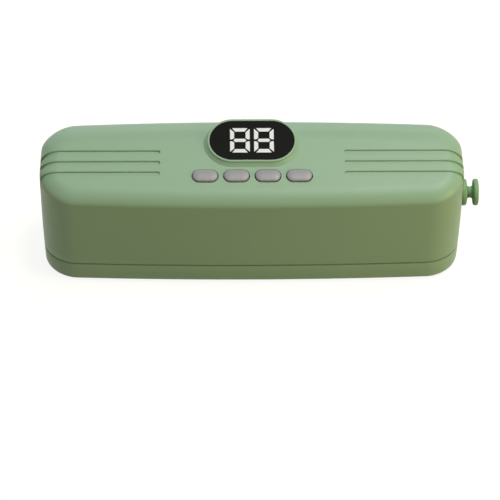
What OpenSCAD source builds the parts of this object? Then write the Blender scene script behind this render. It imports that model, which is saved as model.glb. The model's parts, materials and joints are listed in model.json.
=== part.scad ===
// Countertop vacuum sealer: a lid with pump, battery and sloped control panel,
// hinged on a flat base that carries the lower half of the vacuum chamber.
// Millimetres. X runs along the machine, the front is -Y, +Z is up, the table is z = 0.

/* [Housing] */
// Overall width of the housing without the side plug
body_w = 240; // [236:1:270]
// Depth of the housing at its middle
body_d = 66; // [65:0.5:76]
// How far the long sides bow outwards between the corners
side_bow = 3; // [2:0.25:3.5]
// Plan radius of the upright corners
corner_r = 20; // [18:0.5:23]
// Wall thickness of the two outer mouldings
wall = 2.2; // [1.8:0.1:2.4]
// Inward draft of the wall at table level
wall_draft = 1.2; // [0.4:0.1:1.4]
// Height at which the upright wall ends and the crown begins
wall_top_z = 55; // [52:0.5:58]
// Radius of the lower edge of the base
base_fillet = 3.5; // [3:0.5:6]
// Height of the parting line above the table
seam_z = 14; // [14:0.25:16]
// Open gap along the parting line
seam_gap = 0.6; // [0.4:0.1:0.8]
// Height of the feet under the base
foot_h = 0.6; // [0.5:0.1:1.6]

/* [Control panel] */
// Forward tilt of the control panel in degrees
panel_tilt = 16; // [13:0.5:17]
// Height of the panel plane above the table at mid depth
panel_z = 73.5; // [71.5:0.5:78]
// Flat panel edge measured in from the front
panel_inset_front = 9; // [8:0.5:11]
// Flat panel edge measured in from the back
panel_inset_back = 26; // [24:0.5:28]
// Flat panel edge measured in from the ends
panel_inset_end = 10.5; // [10:0.5:16]
// Height of the rounded edge along the front and the ends
crown_drop = 5.5; // [5:0.5:7.5]

/* [Display] */
// Width of the display window
window_w = 48.3; // [46:0.1:56]
// Height of the display window along the slope
window_d = 26.3; // [25.5:0.1:28]
// Distance of the window centre up the slope from the panel's front edge
window_s = 30.1; // [29.6:0.1:31]
// Width of the rim around the window
rim_w = 1.3; // [1:0.1:1.6]
// Flare of the pod below its rim
skirt_w = 1.7; // [1:0.1:1.8]
// Height of the display pod above the panel
pod_h = 2.5; // [2:0.1:3.5]
// Height of one digit along the slope
digit_h = 16.5; // [15:0.1:19]
// Width of one digit
digit_w = 11.2; // [9:0.1:12.4]
// Spacing of the two digits
digit_pitch = 13.6; // [13:0.1:16]

/* [Buttons] */
// Length of a button
button_w = 14.4; // [12:0.1:15.4]
// Height of a button along the slope
button_d = 7.8; // [7:0.1:8.6]
// Spacing of the buttons
button_pitch = 17.7; // [17.6:0.1:20]
// Distance of the buttons up the slope from the panel's front edge
button_s = 7.7; // [7.2:0.1:8]
// Height of a button above the panel
button_proud = 1.4; // [1:0.1:2]
// Travel of a button
button_travel = 0.8; // [0.4:0.1:0.8]

/* [Grip grooves] */
// Distance of the groove's inner end from the middle
groove_start = 52; // [48:0.5:80]
// Depth position of the middle groove
groove_y = -8; // [-10:0.1:-6]
// Spacing of the grooves
groove_pitch = 6.8; // [5:0.1:8]
// Width of a groove
groove_w = 2.4; // [1:0.1:2.4]
// Depth of a groove
groove_depth = 0.9; // [0.4:0.1:1.1]
// Height above the table where a groove ends on the end wall
groove_stop_z = 58; // [49:0.5:58]

/* [Sealing jaws] */
// Length of the heated seal
seal_len = 190; // [180:1:192]
// Width of the heater bar and of the strip pressed against it
seal_w = 8; // [6:0.5:8]
// Overall length of the gasket loop
gasket_len = 200; // [196:1:201]
// Overall width of the gasket loop
gasket_d = 30; // [28:0.5:30.5]
// Width of the gasket section
gasket_w = 4.5; // [3.5:0.1:4.8]
// Length of the vacuum trough in the base
trough_len = 166; // [150:1:176]
// Width of the vacuum trough
trough_w = 15; // [12:0.5:16]
// Depth of the vacuum trough
trough_depth = 6.6; // [5.5:0.1:6.8]

/* [Hinge] */
// Distance of each hinge from the middle
hinge_x = 72; // [60:1:80]
// Diameter of the hinge pin
hinge_pin_d = 2.5; // [2:0.1:3]
// Outer diameter of the hinge barrel
barrel_d = 6.8; // [6:0.1:7]
// Length of the middle knuckle
knuckle_len = 12; // [10:0.5:16]

/* [Side port] */
// Height of the side port above the table
port_z = 41; // [39:0.5:42]
// Diameter of the plug flanges
plug_flange_d = 15.4; // [12:0.1:17]
// Diameter of the plug neck
plug_neck_d = 6.4; // [5:0.1:8]
// Thickness of each plug flange
plug_flange_t = 3; // [2.5:0.1:3.5]
// Length of the neck between the flanges
plug_neck_len = 3.7; // [3.4:0.1:5]
// Diameter of the port bore
port_bore_d = 6.3; // [5:0.1:6.6]

/* [Pump] */
// Diameter of the motor can
motor_d = 24; // [22:0.5:24.5]
// Length of the motor can
motor_len = 31; // [29:0.5:31.5]
// Throw of the pump eccentric
crank_throw = 1.2; // [0.8:0.1:1.6]
// Outer diameter of the air hoses
hose_d = 6.4; // [5.6:0.1:7]

/* [Battery] */
// Diameter of one cell
cell_d = 18.4; // [17:0.1:18.6]
// Length of one cell
cell_len = 65; // [60:0.5:66]

/* [Hidden] */
$fn = 48;
eps = 0.01;

half_w = body_w / 2;
half_d = body_d / 2 - side_bow;
corner_n = 8;
side_n = 12;

base_rim_z = seam_z - seam_gap / 2;
lid_rim_z = seam_z + seam_gap / 2;
jaw_recess = 0.4;
deck_t = 2.2;
deck_z = base_rim_z - jaw_recess;
liner_z = lid_rim_z + jaw_recess;
liner_top = liner_z + 2.4;
soft_low_z = seam_z - 0.15;
soft_high_z = seam_z + 0.15;
insert_fit = 0.25;

// Panel plane and its slope frame
panel_rise = tan(panel_tilt);
panel_y0 = -body_d / 2 + panel_inset_front;
panel_corner_r = 9;
board_top = -9;
board_t = 1.6;
pod_root = 7;

// Seal line, gasket loop and blocks around them
seal_y = -half_d + 7.5;
gasket_y = seal_y + seal_w / 2 + 2.5 + gasket_d / 2;
block_rim = 1.1;
roof_z = liner_z + 5.3;
recess_top = liner_z + 2.8;
heater_top = liner_z + 3.8;
gasket_top = liner_z + 2.2;
gasket_floor = deck_z - 3.3;
strip_floor = deck_z - 3.8;

// Hinge line
barrel_r = barrel_d / 2;
pin_r = hinge_pin_d / 2;
ear_len = 5;
ear_gap = 0.3;
hinge_wall_y = half_d + side_bow * (1 - pow((hinge_x - 12) / half_w, 2));
hinge_y = hinge_wall_y + barrel_r + 0.6;
hinge_reach = knuckle_len / 2 + ear_gap + ear_len;

// Fixings
boss_r = 3.4;
board_post_r = 2.55;
screw_r = 1.25;
corner_fix_x = half_w - 14;
middle_fix_x = 37;
lid_fix_y = half_d - 11;
lid_front_y = seal_y + seal_w / 2 + 1.4 + boss_r + 0.6;
lid_front_x = (gasket_len - gasket_d) / 2
    + sqrt(pow(gasket_d / 2 + block_rim + boss_r + 0.6, 2) - pow(lid_front_y - gasket_y, 2));
base_fix_y = half_d - 14;
foot_x = half_w - 32;
foot_y = half_d - 11;
foot_r = 4.9;
lid_screw_xy = concat(two_sides(lid_front_x, lid_front_y), two_sides(corner_fix_x, lid_fix_y),
    two_sides(middle_fix_x, half_d - 5));
base_screw_xy = concat(four_corners(corner_fix_x, base_fix_y), two_sides(middle_fix_x, half_d - 9));
foot_xy = concat(four_corners(foot_x, foot_y), [[0, 0]]);
terminal_x = seal_len / 2 - 4;

// Control board behind the panel
board_w = 3 * button_pitch + 30;
board_s0 = button_s - 5.2;
board_s1 = (half_d - 10.7 - panel_y0 + board_top * sin(panel_tilt)) / cos(panel_tilt);
board_fix_x = board_w / 2 - 6;
board_screw_xs = concat(two_sides(board_fix_x, button_s + 6.3), two_sides(board_fix_x, board_s1 - 5.5));
module_w = window_w - 16.7;
module_d = window_d - 6.1;

// Side port and plug
port_bore_r = port_bore_d / 2;
port_sleeve_r = port_bore_r + 1.45;
plug_face_x = half_w + 0.3;
tee_x = half_w - 30;
tee_drop = -9;
port_barb_x = tee_x + 11;
barb_r = 2;
barb_bore = 1.2;
hose_r = hose_d / 2;

// Pump
bend_r = 9;
case_len = 20;
case_x1 = tee_x - bend_r - 8;
motor_x1 = case_x1 - case_len;
motor_x0 = motor_x1 - motor_len;
motor_z = roof_z + 15;
motor_r = motor_d / 2;
crank_x = motor_x1 + case_len / 2;
case_d = 22;
case_top = motor_z + 15;
inlet_z = case_top + 8;
shaft_r = 1.15;

// Battery
cell_r = cell_d / 2;
cell_pitch = cell_d + 0.4;
tray_x0 = -terminal_x + 5;
tray_x1 = tray_x0 + cell_len + 6;
cell_x0 = tray_x0 + 3;
tray_floor = 1.5;
cell_z = roof_z + tray_floor + cell_r + 0.05;
tray_y = -0.5;
tray_d = 2 * cell_pitch + 2.6;

// Charging socket, on a board beside the battery tray
charge_half_w = 13;
charge_x = tray_x1 + 2 + charge_half_w;
charge_post_xy = concat(two_sides(10, half_d - 13), two_sides(10, half_d - 4));
socket_z = 30.8;
socket_w = 9;
socket_h = 3.2;
charge_top = socket_z - socket_h / 2;

// Sub-part to show

// Fixing patterns

function two_sides(x, y) = [[-x, y], [x, y]];

function four_corners(x, y) = concat(two_sides(x, -y), two_sides(x, y));

// Outer form

function panel_height(y) = panel_z + panel_rise * y;

function draft_at(z) = wall_draft * pow(max(0, 1 - z / wall_top_z), 2);

function arc_points(c, r, a0) = [
    for (k = [0:corner_n])
        let (a = a0 + 90 * k / corner_n)
        [c[0] + r * cos(a), c[1] + r * sin(a), a]
];

function side_points(x0, x1, y, a) = [for (k = [1:side_n - 1]) [x0 + (x1 - x0) * k / side_n, y, a]];

function plain_outline(hw, yf, yb, r) = concat(
    arc_points([hw - r, yf + r], r, -90),
    arc_points([hw - r, yb - r], r, 0),
    side_points(hw - r, r - hw, yb, 90),
    arc_points([r - hw, yb - r], r, 90),
    arc_points([r - hw, yf + r], r, 180),
    side_points(r - hw, hw - r, yf, -90)
);

function bowed(p, hw) = [p[0], p[1] + side_bow * sin(p[2]) * (1 - pow(p[0] / hw, 2))];

function outline(hw, yf, yb, r) = [for (p = plain_outline(hw, yf, yb, r)) bowed(p, hw)];

function inset_outline(off) = outline(half_w - off, -half_d + off, half_d - off, corner_r - off);

function panel_outline() = outline(
    half_w - panel_inset_end, -half_d + panel_inset_front, half_d - panel_inset_back, panel_corner_r
);

function wall_ring(z, off) = [for (p = inset_outline(off + draft_at(z))) [p[0], p[1], z]];

// Share of the back's tall crown at each outline point: 0 along the front, 1 along the back
function back_shares() = [
    for (p = plain_outline(half_w, -half_d, half_d, corner_r))
        let (t = max(0, 0.25 + 0.75 * p[1] / half_d))
        t * t * (3 - 2 * t)
];

// One ring of the crown: phi runs from 0 at the wall to 90 at the flat panel
function crown_ring(phi, off) =
    let (
        outer = inset_outline(off),
        inner = panel_outline(),
        sink = off / cos(panel_tilt),
        shares = back_shares()
    )
    [
        for (i = [0:len(outer) - 1])
            let (
                x = inner[i][0] + (outer[i][0] - inner[i][0]) * cos(phi),
                y = inner[i][1] + (outer[i][1] - inner[i][1]) * cos(phi),
                back_rise = panel_height(outer[i][1]) - sink - wall_top_z,
                rise = crown_drop + (back_rise - crown_drop) * shares[i]
            )
            [x, y, panel_height(y) - sink - rise * (1 - sin(phi))]
    ];

function lid_rings(off, z0) = concat(
    [for (z = [z0, 22, 32, 43]) wall_ring(z, off)],
    [for (phi = [0:9:90]) crown_ring(phi, off)]
);

function base_rings(off, z0, r, z1) = concat(
    [for (a = [90:-18:0]) wall_ring(z0 + r * (1 - sin(a)), off + r * (1 - cos(a)))],
    [wall_ring(z1, off)]
);

function ring_band(k, n) = [
    for (i = [0:n - 1])
        for (t = [0, 1])
            let (a = k * n + i, b = k * n + (i + 1) % n)
            t == 0 ? [a, a + n, b + n] : [a, b + n, b]
];

module skin(rings) {
    n = len(rings[0]);
    m = len(rings);
    bands = [for (k = [0:m - 2]) for (f = ring_band(k, n)) f];
    bottom = [for (i = [0:n - 1]) i];
    top = [for (i = [0:n - 1]) m * n - 1 - i];
    polyhedron(points = [for (r = rings) for (p = r) p], faces = concat([bottom], bands, [top]));
}

module lid_skin(off, z0) {
    skin(lid_rings(off, z0));
}

// Shared shapes

module stadium(w, d) {
    square([w - d, d], center = true);
    for (s = [-1, 1]) {
        translate([s * (w - d) / 2, 0]) circle(d = d);
    }
}

module slab(w, d, z0, z1) {
    translate([0, 0, z0]) linear_extrude(z1 - z0) stadium(w, d);
}

// Stadium prism drawn as the envelope of two round posts
module post_pair(w, d, z0, z1) {
    hull() {
        for (s = [-1, 1]) {
            translate([s * (w - d) / 2, 0, z0]) cylinder(d = d, h = z1 - z0, $fn = 32);
        }
    }
}

function stadium_ring(w, d, z) = [
    for (s = [1, -1])
        for (k = [0:16])
            let (a = -90 * s + 180 * k / 16)
            [s * (w - d) / 2 + d / 2 * cos(a), d / 2 * sin(a), z]
];

module box(x0, x1, y0, y1, z0, z1) {
    translate([x0, y0, z0]) cube([x1 - x0, y1 - y0, z1 - z0]);
}

module rod_x(x0, x1, r) {
    translate([x0, 0, 0]) rotate([0, 90, 0]) cylinder(r = r, h = x1 - x0);
}

module rod_z(z0, z1, r) {
    translate([0, 0, z0]) cylinder(r = r, h = z1 - z0);
}

module on_panel(s) {
    translate([0, panel_y0, panel_height(panel_y0)])
        rotate([panel_tilt, 0, 0])
            translate([0, s, 0]) children();
}

module at_buttons() {
    for (i = [0:3]) {
        on_panel(button_s) translate([button_x(i), 0, 0]) children();
    }
}

function button_x(i) = (i - 1.5) * button_pitch;

module at_gasket() {
    translate([0, gasket_y, 0]) children();
}

module at_hinges() {
    for (s = [-1, 1]) {
        translate([s * hinge_x, hinge_y, seam_z]) children();
    }
}

// Base

module base_shell() {
    color("DarkSeaGreen") difference() {
        skin(base_rings(0, foot_h, base_fillet, base_rim_z));
        skin(base_rings(wall, foot_h + wall, base_fillet - wall, seam_z + 2));
        for (p = base_screw_xy) {
            translate(p) rod_z(0, 6, screw_r + 0.2);
            translate(p) rod_z(0, foot_h + 1, 2.8);
        }
        for (p = foot_xy) {
            translate(p) rod_z(0, foot_h + 0.8, foot_r + 0.1);
        }
        for (s = [-1, 1]) {
            box(s * hinge_x - hinge_reach - 0.3, s * hinge_x + hinge_reach + 0.3,
                half_d - 12, body_d, deck_z - 3.2, seam_z + 3);
        }
    }
}

module base_deck() {
    color("SeaGreen") difference() {
        union() {
            translate([0, 0, deck_z - deck_t]) linear_extrude(deck_t)
                polygon(inset_outline(wall + insert_fit + draft_at(deck_z - deck_t)));
            at_gasket() gasket_block(gasket_floor - 1.4, deck_z);
            at_gasket() slab(trough_len + 3, trough_w + 3, deck_z - trough_depth - 1.4, deck_z);
            seal_block(strip_floor - 1.4, deck_z);
            for (p = base_screw_xy) {
                translate(p) rod_z(foot_h + wall, deck_z, boss_r);
            }
            at_hinges() base_ears();
        }
        at_gasket() gasket_ring(gasket_floor, seam_z + 1, 0.1);
        at_gasket() slab(trough_len, trough_w, deck_z - trough_depth, seam_z + 1);
        seal_slot(strip_floor, seam_z + 1);
        for (p = base_screw_xy) {
            translate(p) rod_z(0, deck_z - 2.5, screw_r + 0.03);
        }
        at_hinges() rod_x(-hinge_reach - 1, hinge_reach + 1, pin_r + 0.02);
        at_hinges() knuckle_gap();
    }
}

module base_ears() {
    for (s = [-1, 1]) {
        x0 = s * (knuckle_len / 2 + ear_gap + ear_len / 2) - ear_len / 2;
        rod_x(x0, x0 + ear_len, barrel_r);
        box(x0, x0 + ear_len, half_d - 8 - hinge_y, 0, deck_z - deck_t - 0.6 - seam_z, deck_z - seam_z);
    }
}

module knuckle_gap() {
    box(-knuckle_len / 2 - ear_gap, knuckle_len / 2 + ear_gap,
        -barrel_r - 0.5, barrel_r + 1, -barrel_r - 1, barrel_r + 1);
}

module seal_block(z0, z1) {
    box(-seal_len / 2 - 1.6, seal_len / 2 + 1.6,
        seal_y - seal_w / 2 - 1.3, seal_y + seal_w / 2 + 1.4, z0, z1);
}

module seal_slot(z0, z1) {
    box(-seal_len / 2 - 0.1, seal_len / 2 + 0.1,
        seal_y - seal_w / 2 - 0.1, seal_y + seal_w / 2 + 0.1, z0, z1);
}

module gasket_block(z0, z1) {
    slab(gasket_len + 2 * block_rim, gasket_d + 2 * block_rim, z0, z1);
}

module gasket_ring(z0, z1, grow) {
    inner_w = gasket_len - 2 * gasket_w - 2 * grow;
    inner_d = gasket_d - 2 * gasket_w - 2 * grow;
    translate([0, 0, z0]) linear_extrude(z1 - z0) difference() {
        stadium(gasket_len + 2 * grow, gasket_d + 2 * grow);
        stadium(inner_w, inner_d);
    }
}

module feet() {
    color("DimGray") for (p = foot_xy) {
        translate(p) rod_z(0, foot_h + 0.8, foot_r);
    }
}

module pan_screw(head_r, head_h, shank_r, shank_len) {
    rod_z(-head_h, 0, head_r);
    rod_z(-eps, shank_len, shank_r);
}

module base_screws() {
    color("Silver") for (p = base_screw_xy) {
        translate([p[0], p[1], foot_h + 1]) pan_screw(2.4, 0.9, screw_r, deck_z - foot_h - 5);
    }
}

module lower_gasket() {
    color("WhiteSmoke") at_gasket() gasket_ring(gasket_floor, soft_low_z, 0);
}

module press_strip() {
    color("OrangeRed") box(-seal_len / 2, seal_len / 2,
        seal_y - seal_w / 2, seal_y + seal_w / 2, strip_floor, soft_low_z);
}

module hinge_pins() {
    color("Silver") at_hinges() rod_x(-hinge_reach - 0.4, hinge_reach + 0.4, pin_r);
}

// Lid

module top_shell() {
    $fn = 32;
    color("DarkSeaGreen") difference() {
        union() {
            difference() {
                lid_skin(0, lid_rim_z);
                lid_skin(wall, lid_rim_z - 1);
            }
            intersection() {
                lid_skin(wall / 2, lid_rim_z);
                lid_posts();
            }
            on_panel(window_s) display_pod();
        }
        on_panel(window_s) slab(window_w, window_d, 0.3, pod_h + 2);
        on_panel(window_s) slab(window_w - 2.4, window_d - 2.4, -pod_root - 2, 1);
        at_buttons() post_pair(button_w + 0.6, button_d + 0.6, -6, 3);
        grip_grooves();
        translate([0, 0, port_z]) rod_x(half_w - 8, half_w + 5, port_sleeve_r + 0.1);
        socket_mouth();
        for (p = lid_screw_xy) {
            translate(p) rod_z(liner_top - 1, liner_top + 11, screw_r + 0.05);
        }
        for (p = board_screw_xs) {
            on_panel(p[1]) translate([p[0], 0, board_top - 1]) rod_z(0, 6, 1.05);
        }
        for (s = [-1, 1]) {
            box(s * hinge_x - knuckle_len / 2 - 0.3, s * hinge_x + knuckle_len / 2 + 0.3,
                half_d - 10, body_d, seam_z - 3, liner_top + 0.4);
        }
    }
}

module lid_posts() {
    for (p = lid_screw_xy) {
        translate(p) rod_z(liner_top, panel_z + 20, boss_r);
    }
    for (p = board_screw_xs) {
        on_panel(p[1]) translate([p[0], 0, 0]) rod_z(board_top, 4, board_post_r);
    }
}

// Raised pod around the display: skirt, flare, rim and a broken top edge
module display_pod() {
    w = window_w + 2 * rim_w;
    d = window_d + 2 * rim_w;
    flare = 2 * skirt_w;
    skin([
        stadium_ring(w + flare, d + flare, -pod_root),
        stadium_ring(w + flare, d + flare, 0.1),
        stadium_ring(w + flare / 3, d + flare / 3, 0.5),
        stadium_ring(w, d, 0.9),
        stadium_ring(w, d, pod_h - 1),
        stadium_ring(w - 1.6, d - 1.6, pod_h)
    ]);
}

module grip_grooves() {
    reach = half_w + 6 - groove_start;
    difference() {
        for (s = [-1, 1]) {
            for (k = [-1:1]) {
                translate([s * (groove_start + reach / 2), groove_y + k * groove_pitch, 0])
                    post_pair(reach, groove_w, groove_stop_z, panel_z + 20);
            }
        }
        lid_skin(groove_depth, lid_rim_z);
    }
}

module socket_mouth() {
    translate([charge_x, body_d / 2 + 2, socket_z]) rotate([90, 0, 0])
        post_pair(socket_w + 0.8, socket_h + 0.8, 0, 10);
}

module lid_deck() {
    color("SeaGreen") difference() {
        union() {
            translate([0, 0, liner_z]) linear_extrude(liner_top - liner_z)
                polygon(inset_outline(wall + insert_fit + draft_at(liner_z)));
            at_gasket() gasket_block(liner_z, roof_z);
            seal_block(liner_z, heater_top + 1.5);
            for (p = charge_post_xy) {
                translate([charge_x + p[0], p[1]]) rod_z(liner_top - 1, charge_top - 1.2, 2.2);
            }
            at_hinges() lid_knuckle();
        }
        at_gasket() gasket_ring(seam_z - 1, gasket_top, 0.1);
        at_gasket() slab(gasket_len - 2 * gasket_w - 3, gasket_d - 2 * gasket_w - 3, seam_z - 1, recess_top);
        seal_slot(seam_z - 1, heater_top);
        for (p = lid_screw_xy) {
            translate(p) rod_z(seam_z, liner_top + 2, screw_r + 0.2);
            translate(p) rod_z(seam_z, liner_z + 1.2, 2.8);
        }
        for (s = [-1, 1]) {
            translate([s * terminal_x, seal_y, 0]) rod_z(liner_z, roof_z + 2, 1.1);
        }
        translate([tee_x, 0, 0]) rod_z(seam_z, roof_z + 1, barb_r + 0.02);
        at_hinges() rod_x(-knuckle_len, knuckle_len, pin_r + 0.05);
    }
}

module lid_knuckle() {
    rod_x(-knuckle_len / 2, knuckle_len / 2, barrel_r);
    box(-knuckle_len / 2, knuckle_len / 2, half_d - 8 - hinge_y, 0, liner_z - seam_z, liner_top - seam_z);
}

module lid_screws() {
    color("Silver") for (p = lid_screw_xy) {
        translate([p[0], p[1], liner_z + 1.2]) pan_screw(2.4, 1, screw_r, 10);
    }
}

module upper_gasket() {
    color("WhiteSmoke") at_gasket() gasket_ring(soft_high_z, gasket_top, 0);
}

module heater_bar() {
    color("SaddleBrown") difference() {
        box(-seal_len / 2, seal_len / 2,
            seal_y - seal_w / 2, seal_y + seal_w / 2, soft_high_z + 0.25, heater_top);
        box(-seal_len / 2 - 1, seal_len / 2 + 1, seal_y - 1.5, seal_y + 1.5, seam_z, soft_high_z + 0.5);
        for (s = [-1, 1]) {
            translate([s * terminal_x, seal_y, 0]) rod_z(seam_z, roof_z + 2, 1.05);
        }
    }
}

module heating_strip() {
    color("Silver") box(-seal_len / 2, seal_len / 2, seal_y - 1.5, seal_y + 1.5,
        soft_high_z + 0.25, soft_high_z + 0.5);
}

module ptfe_tape() {
    color("Peru") box(-seal_len / 2, seal_len / 2,
        seal_y - seal_w / 2, seal_y + seal_w / 2, soft_high_z, soft_high_z + 0.25);
}

module heater_terminals() {
    color("Goldenrod") for (s = [-1, 1]) {
        translate([s * terminal_x, seal_y, 0]) rod_z(soft_high_z + 0.5, heater_top + 2, 1);
        translate([s * terminal_x, seal_y, 0]) rod_z(heater_top + 1.5, heater_top + 2.5, 1.7);
    }
}

// Display and controls

module display_lens() {
    color("Black") on_panel(window_s) difference() {
        slab(window_w - 0.4, window_d - 0.4, 0.3, pod_h - 0.2);
        digit_pair(-1, pod_h + 1, 0);
    }
}

module display_segments() {
    color("White") on_panel(window_s) digit_pair(0.3, pod_h - 0.2, 0.03);
}

module digit_pair(z0, z1, trim) {
    for (s = [-1, 1]) {
        translate([s * digit_pitch / 2, 0, z0]) linear_extrude(z1 - z0) digit_eight(trim);
    }
}

// Seven bars of one digit; trim shrinks every bar by the same amount
module digit_eight(trim) {
    t = 2.4;
    g = 0.4 + trim;
    hw = digit_w / 2;
    hh = digit_h / 2;
    for (m = [0, 1]) {
        mirror([0, m]) polygon([[-hw + g + 0.8, hh - trim], [hw - g - 0.8, hh - trim],
            [hw - t - g - 0.1, hh - t + trim], [-hw + t + g + 0.1, hh - t + trim]]);
        for (n = [0, 1]) {
            mirror([0, m]) mirror([n, 0]) polygon([[hw - trim, g + 0.2], [hw - trim, hh - g - 0.1],
                [hw - t + trim, hh - t - g], [hw - t + trim, t / 2 + g - 0.1], [hw - t / 2, g + 0.2]]);
        }
    }
    polygon([[-hw + t / 2 + g + 0.4, 0], [-hw + t + g, t / 2 - trim - 0.1], [hw - t - g, t / 2 - trim - 0.1],
        [hw - t / 2 - g - 0.4, 0], [hw - t - g, -t / 2 + trim + 0.1], [-hw + t + g, -t / 2 + trim + 0.1]]);
}

module display_module() {
    color("DimGray") on_panel(window_s) translate([0, 0, board_top]) linear_extrude(0.3 - board_top)
        square([module_w, module_d], center = true);
}

module control_board() {
    color("DarkGreen") on_panel(0) difference() {
        box(-board_w / 2, board_w / 2, board_s0, board_s1, board_top - board_t, board_top);
        for (p = board_screw_xs) {
            translate([p[0], p[1], 0]) rod_z(board_top - 3, 0, 1.15);
        }
    }
}

module board_parts() {
    color("DarkSlateGray") on_panel(0) {
        translate([-6, board_s1 - 18.5, board_top - board_t - 1.4]) cube([9, 9, 1.4]);
        translate([14, board_s1 - 16.5, board_top - board_t - 6]) cube([12, 10, 6]);
        translate([-26, board_s1 - 15.5, board_top - board_t - 3]) cube([10, 7, 3]);
        translate([-8, board_s0 + 3.5, board_top - board_t - 4]) cube([16, 6, 4]);
    }
}

module board_screws() {
    color("Silver") for (p = board_screw_xs) {
        on_panel(p[1]) translate([p[0], 0, board_top - board_t]) pan_screw(2, 1, 1, 6);
    }
}

module tact_switches() {
    color("Gray") at_buttons() difference() {
        translate([-3, -3, board_top]) cube([6, 6, 3.6]);
        rod_z(board_top + 1.2, 0, 1.85);
    }
}

module button_cap(i) {
    color("Silver") on_panel(button_s) translate([button_x(i), 0, 0]) {
        slab(button_w, button_d, -2.8, button_proud - 0.6);
        slab(button_w - 0.5, button_d - 0.5, -2.8, button_proud - 0.2);
        slab(button_w - 1.3, button_d - 1.3, -2.8, button_proud);
        slab(button_w + 1.6, button_d + 1.6, -wall - 1.6, -wall - 0.4);
        rod_z(board_top + 4.8, -wall - 1.5, 2);
    }
}

module switch_plunger(i) {
    color("Black") on_panel(button_s) translate([button_x(i), 0, 0])
        rod_z(board_top + 2.2, board_top + 4.8, 1.75);
}

module pulse_button() {
    button_cap(0);
}

module seal_button() {
    button_cap(1);
}

module vacuum_button() {
    button_cap(2);
}

module power_button() {
    button_cap(3);
}

module pulse_plunger() {
    switch_plunger(0);
}

module seal_plunger() {
    switch_plunger(1);
}

module vacuum_plunger() {
    switch_plunger(2);
}

module power_plunger() {
    switch_plunger(3);
}

// Pump

module on_motor() {
    translate([0, 0, motor_z]) children();
}

module motor_can() {
    color("Silver") on_motor() difference() {
        rod_x(motor_x0, motor_x1, motor_r);
        rod_x(motor_x0 - 1, motor_x1 - 1.2, motor_r - 1);
        rod_x(motor_x0, motor_x1 + 1, shaft_r + 0.05);
    }
}

module motor_magnets() {
    color("DimGray") on_motor() difference() {
        rod_x(motor_x0 + 5, motor_x1 - 6, motor_r - 1);
        rod_x(motor_x0, motor_x1, motor_r - 3.4);
    }
}

module motor_end_cap() {
    color("Black") on_motor() difference() {
        union() {
            rod_x(motor_x0 - 2, motor_x0, motor_r);
            rod_x(motor_x0 - eps, motor_x0 + 2.5, motor_r - 1);
            for (s = [-1, 1]) {
                box(motor_x0 - 5, motor_x0 - 1, s * 6 - 1.2, s * 6 + 1.2, -0.4, 0.4);
            }
        }
        rod_x(motor_x0 - 1, motor_x0 + 4, shaft_r + 0.05);
    }
}

module motor_rotor() {
    color("Sienna") on_motor() {
        rod_x(motor_x0 - 0.8, crank_x + 4, shaft_r);
        rod_x(motor_x0 + 6, motor_x1 - 7, motor_r - 4);
        rod_x(motor_x0 + 3.2, motor_x0 + 5.4, 3.4);
    }
}

module eccentric() {
    color("Goldenrod") on_motor() difference() {
        union() {
            translate([0, 0, crank_throw]) rod_x(crank_x - 3, crank_x + 3, 4.4);
            rod_x(crank_x - 4, crank_x + 3.6, 2.8);
        }
        rod_x(crank_x - 6, crank_x + 6, shaft_r);
    }
}

module pump_crankcase() {
    color("DarkSlateGray") difference() {
        box(motor_x1, case_x1, -case_d / 2, case_d / 2, roof_z + 4, case_top);
        box(motor_x1 + 2, case_x1 - 2, -case_d / 2 + 2.4, case_d / 2 - 2.4, roof_z + 6, case_top + 1);
        on_motor() rod_x(motor_x1 - 1, motor_x1 + 4, 3.4);
        at_pump_screws() rod_z(case_top - 8, case_top + 1, 0.85);
    }
}

module at_pump_screws() {
    for (sx = [-1, 1]) {
        for (sy = [-1, 1]) {
            translate([crank_x + sx * (case_len / 2 - 1.05), sy * (case_d / 2 - 1.2), 0]) children();
        }
    }
}

// Moulded diaphragm with its rod and the ring that runs on the eccentric
module pump_diaphragm() {
    ring_z = motor_z + crank_throw;
    color("DarkOrange") difference() {
        union() {
            translate([crank_x, 0, 0]) rod_z(case_top, case_top + 1.6, 8.6);
            translate([crank_x, 0, 0]) rod_z(ring_z + 5, case_top + 0.5, 2.4);
            translate([0, 0, ring_z]) rod_x(crank_x - 2.6, crank_x + 2.6, 6.4);
        }
        translate([0, 0, ring_z]) rod_x(crank_x - 4, crank_x + 4, 4.45);
    }
}

module pump_valve_plate() {
    color("LightGray") difference() {
        box(motor_x1, case_x1, -case_d / 2, case_d / 2, case_top, case_top + 3.6);
        translate([crank_x, 0, 0]) rod_z(case_top - 1, case_top + 1.6, 8.65);
        for (s = [-1, 1]) {
            translate([crank_x, s * 4, 0]) rod_z(case_top, case_top + 5, 1.6);
        }
        at_pump_screws() rod_z(case_top - 1, case_top + 5, 0.85);
    }
}

module pump_head() {
    color("DimGray") difference() {
        union() {
            box(motor_x1, case_x1, -case_d / 2, case_d / 2, case_top + 3.6, case_top + 12);
            translate([0, 0, inlet_z]) rod_x(case_x1 - 1, case_x1 + 7, barb_r);
        }
        box(motor_x1 + 4, case_x1 - 4, -case_d / 2 + 2.4, case_d / 2 - 2.4, case_top + 3, case_top + 10);
        translate([0, 0, inlet_z]) rod_x(case_x1 - 6, case_x1 + 8, barb_bore);
        at_pump_screws() rod_z(case_top, case_top + 13, 0.85);
    }
}

module pump_screws() {
    color("Silver") at_pump_screws() {
        rod_z(case_top - 7, case_top + 12.5, 0.8);
        rod_z(case_top + 12, case_top + 13, 1.1);
    }
}

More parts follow.
